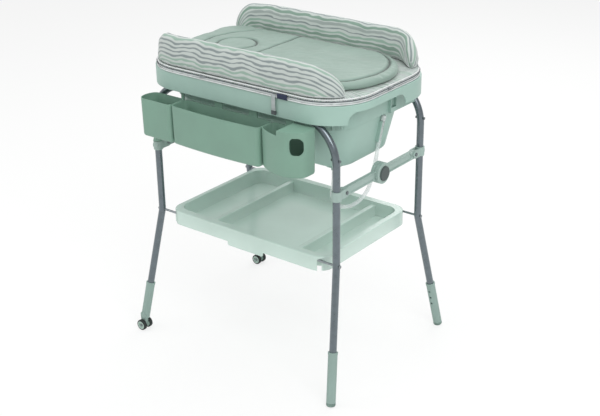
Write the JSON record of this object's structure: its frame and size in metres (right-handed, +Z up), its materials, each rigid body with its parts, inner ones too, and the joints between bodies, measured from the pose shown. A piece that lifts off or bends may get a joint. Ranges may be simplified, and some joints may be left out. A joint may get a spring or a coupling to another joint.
{
  "type": "changing table with bathtub",
  "caption": "Folding nursery changing table: padded mat over a bathtub on two arched tube frames, with hanging bins, a shelf tray, castors and adjustable feet.",
  "frame": {"origin": "middle of the footprint on the floor, under the middle of the table", "axes": "+X along the table to the end with the feet, +Y to the rear, +Z up"},
  "size_m": [0.7948, 0.631, 0.9995],
  "materials": {
    "tube_grey": "satin silver-grey lacquer",
    "rod_steel": "brushed",
    "pin_steel": "satin",
    "tub_green": "semi-gloss",
    "bin_green": "semi-gloss",
    "tray_mint": "gloss, slightly translucent",
    "sleeve_green": "matte",
    "brace_green": "matte",
    "hub_dark": "matte",
    "pad_rubber": "matte",
    "wheel_green": "satin",
    "tyre_dark": "matte",
    "plug_white": "matte",
    "hose_clear": "transparent",
    "mat_striped": "printed cloth",
    "liner_green": "soft coated cloth",
    "strap_grey": "woven",
    "tag_navy": "woven"
  },
  "bodies": {
    "rear_frame": {"rear_arch_tube": "tube_grey", "rear_arch_pins": "pin_steel", "rear_shelf_rod": "rod_steel", "leg_tube_rear_right": "tube_grey", "leg_tube_rear_left": "tube_grey", "brace_clamp_rear_right": "brace_green", "brace_clamp_rear_left": "brace_green", "rear_brace_pins": "pin_steel"},
    "front_frame": {"front_arch_tube": "tube_grey", "front_arch_pins": "pin_steel", "front_shelf_rod": "rod_steel", "leg_tube_front_right": "tube_grey", "leg_tube_front_left": "tube_grey", "brace_clamp_front_right": "brace_green", "brace_clamp_front_left": "brace_green", "front_brace_pins": "pin_steel", "storage_cup": "bin_green", "storage_long_bin": "bin_green", "storage_end_bin": "bin_green"},
    "tub_assembly": {"tub": "tub_green", "tub_hinge_saddles": "tub_green", "tub_rest_saddles": "tub_green", "drain_fitting": "tub_green", "drain_hose": "hose_clear", "hose_end_cap": "plug_white"},
    "plug": {"drain_plug": "plug_white"},
    "mat": {"mat_base": "mat_striped", "front_bolster": "mat_striped", "rear_bolster": "mat_striped", "mat_liner": "liner_green", "mat_strap": "strap_grey", "strap_hook": "hub_dark", "mat_tag": "tag_navy"},
    "shelf": {"shelf_tray": "tray_mint"},
    "rear_brace_right": {"brace_rear_right": "brace_green", "hub_rivet_right": "pin_steel"},
    "front_brace_right": {"brace_front_right": "brace_green"},
    "lock_right": {"lock_button_right": "hub_dark"},
    "rear_brace_left": {"brace_rear_left": "brace_green", "hub_rivet_left": "pin_steel"},
    "front_brace_left": {"brace_front_left": "brace_green"},
    "lock_left": {"lock_button_left": "hub_dark"},
    "sleeve_front_right": {"foot_sleeve_front_right": "sleeve_green", "foot_pad_front_right": "pad_rubber"},
    "button_front_right": {"height_button_front_right": "pin_steel"},
    "sleeve_rear_right": {"foot_sleeve_rear_right": "sleeve_green", "foot_pad_rear_right": "pad_rubber"},
    "button_rear_right": {"height_button_rear_right": "pin_steel"},
    "sleeve_front_left": {"caster_sleeve_front_left": "sleeve_green"},
    "button_front_left": {"height_button_front_left": "pin_steel"},
    "wheels_front_left": {"caster_wheel_front_left": "wheel_green", "caster_tyre_front_left": "tyre_dark", "caster_axle_front_left": "pin_steel"},
    "sleeve_rear_left": {"caster_sleeve_rear_left": "sleeve_green"},
    "button_rear_left": {"height_button_rear_left": "pin_steel"},
    "wheels_rear_left": {"caster_wheel_rear_left": "wheel_green", "caster_tyre_rear_left": "tyre_dark", "caster_axle_rear_left": "pin_steel"}
  },
  "joints": [
    {"name": "brace_fold_rear_right", "type": "hinge", "parent": "rear_frame", "child": "rear_brace_right", "pos_m": [0.343, 0.18, 0.632], "axis": [-1, 0, 0], "range_deg": [0, 62]},
    {"name": "hub_fold_right", "type": "hinge", "parent": "rear_brace_right", "child": "front_brace_right", "pos_m": [0.343, 0, 0.632], "axis": [-1, 0, 0], "range_deg": [-124, 0]},
    {"name": "lock_press_right", "type": "slide", "parent": "front_brace_right", "child": "lock_right", "axis": [-1, 0, 0], "range_m": [0, 0.004], "stiffness_N_per_m": 500},
    {"name": "brace_fold_rear_left", "type": "hinge", "parent": "rear_frame", "child": "rear_brace_left", "pos_m": [-0.343, 0.18, 0.632], "axis": [-1, 0, 0], "range_deg": [0, 62]},
    {"name": "hub_fold_left", "type": "hinge", "parent": "rear_brace_left", "child": "front_brace_left", "pos_m": [-0.343, 0, 0.632], "axis": [-1, 0, 0], "range_deg": [-124, 0]},
    {"name": "lock_press_left", "type": "slide", "parent": "front_brace_left", "child": "lock_left", "axis": [1, 0, 0], "range_m": [0, 0.004], "stiffness_N_per_m": 500},
    {"name": "front_frame_fold", "type": "hinge", "parent": "front_brace_right", "child": "front_frame", "pos_m": [0.343, -0.18, 0.632], "axis": [-1, 0, 0], "range_deg": [0, 62]},
    {"name": "tub_tilt", "type": "hinge", "parent": "rear_frame", "child": "tub_assembly", "pos_m": [0, 0.216, 0.843], "axis": [-1, 0, 0], "range_deg": [0, 92], "deforming": ["drain_hose"]},
    {"name": "shelf_tilt", "type": "hinge", "parent": "rear_frame", "child": "shelf", "pos_m": [0, 0.216, 0.414], "axis": [-1, 0, 0], "range_deg": [0, 75]},
    {"name": "mat_flip", "type": "hinge", "parent": "tub_assembly", "child": "mat", "pos_m": [0, 0.246, 0.89], "axis": [-1, 0, 0], "range_deg": [0, 80]},
    {"name": "plug_pull", "type": "slide", "parent": "tub_assembly", "child": "plug", "axis": [0, 0, 1], "range_m": [0, 0.03]},
    {"name": "height_front_right", "type": "slide", "parent": "front_frame", "child": "sleeve_front_right", "axis": [0.0966, -0.1979, -0.9754], "range_m": [0, 0.046]},
    {"name": "button_front_right", "type": "slide", "parent": "front_frame", "child": "button_front_right", "axis": [-0.0195, -0.9802, 0.197], "range_m": [0, 0.003], "stiffness_N_per_m": 250},
    {"name": "height_rear_right", "type": "slide", "parent": "rear_frame", "child": "sleeve_rear_right", "axis": [0.0966, 0.1979, -0.9754], "range_m": [0, 0.046]},
    {"name": "button_rear_right", "type": "slide", "parent": "rear_frame", "child": "button_rear_right", "axis": [-0.0195, 0.9802, 0.197], "range_m": [0, 0.003], "stiffness_N_per_m": 250},
    {"name": "height_front_left", "type": "slide", "parent": "front_frame", "child": "sleeve_front_left", "axis": [-0.0966, -0.1979, -0.9754], "range_m": [0, 0.046]},
    {"name": "button_front_left", "type": "slide", "parent": "front_frame", "child": "button_front_left", "axis": [0.0195, -0.9802, 0.197], "range_m": [0, 0.003], "stiffness_N_per_m": 250},
    {"name": "wheel_roll_front_left", "type": "hinge", "parent": "sleeve_front_left", "child": "wheels_front_left", "pos_m": [-0.37966, -0.29641, 0.0177], "axis": [0, 1, 0], "continuous": true},
    {"name": "height_rear_left", "type": "slide", "parent": "rear_frame", "child": "sleeve_rear_left", "axis": [-0.0966, 0.1979, -0.9754], "range_m": [0, 0.046]},
    {"name": "button_rear_left", "type": "slide", "parent": "rear_frame", "child": "button_rear_left", "axis": [0.0195, 0.9802, 0.197], "range_m": [0, 0.003], "stiffness_N_per_m": 250},
    {"name": "wheel_roll_rear_left", "type": "hinge", "parent": "sleeve_rear_left", "child": "wheels_rear_left", "pos_m": [-0.37966, 0.29641, 0.0177], "axis": [0, 1, 0], "continuous": true}
  ],
  "couplings": [
    {"joint": "hub_fold_right", "follows": "brace_fold_rear_right", "ratio": -2},
    {"joint": "hub_fold_left", "follows": "brace_fold_rear_right", "ratio": -2},
    {"joint": "brace_fold_rear_left", "follows": "brace_fold_rear_right", "ratio": 1},
    {"joint": "front_frame_fold", "follows": "brace_fold_rear_right", "ratio": 1},
    {"joint": "tub_tilt", "follows": "brace_fold_rear_right", "ratio": 1.4838},
    {"joint": "shelf_tilt", "follows": "brace_fold_rear_right", "ratio": 1.2096}
  ]
}
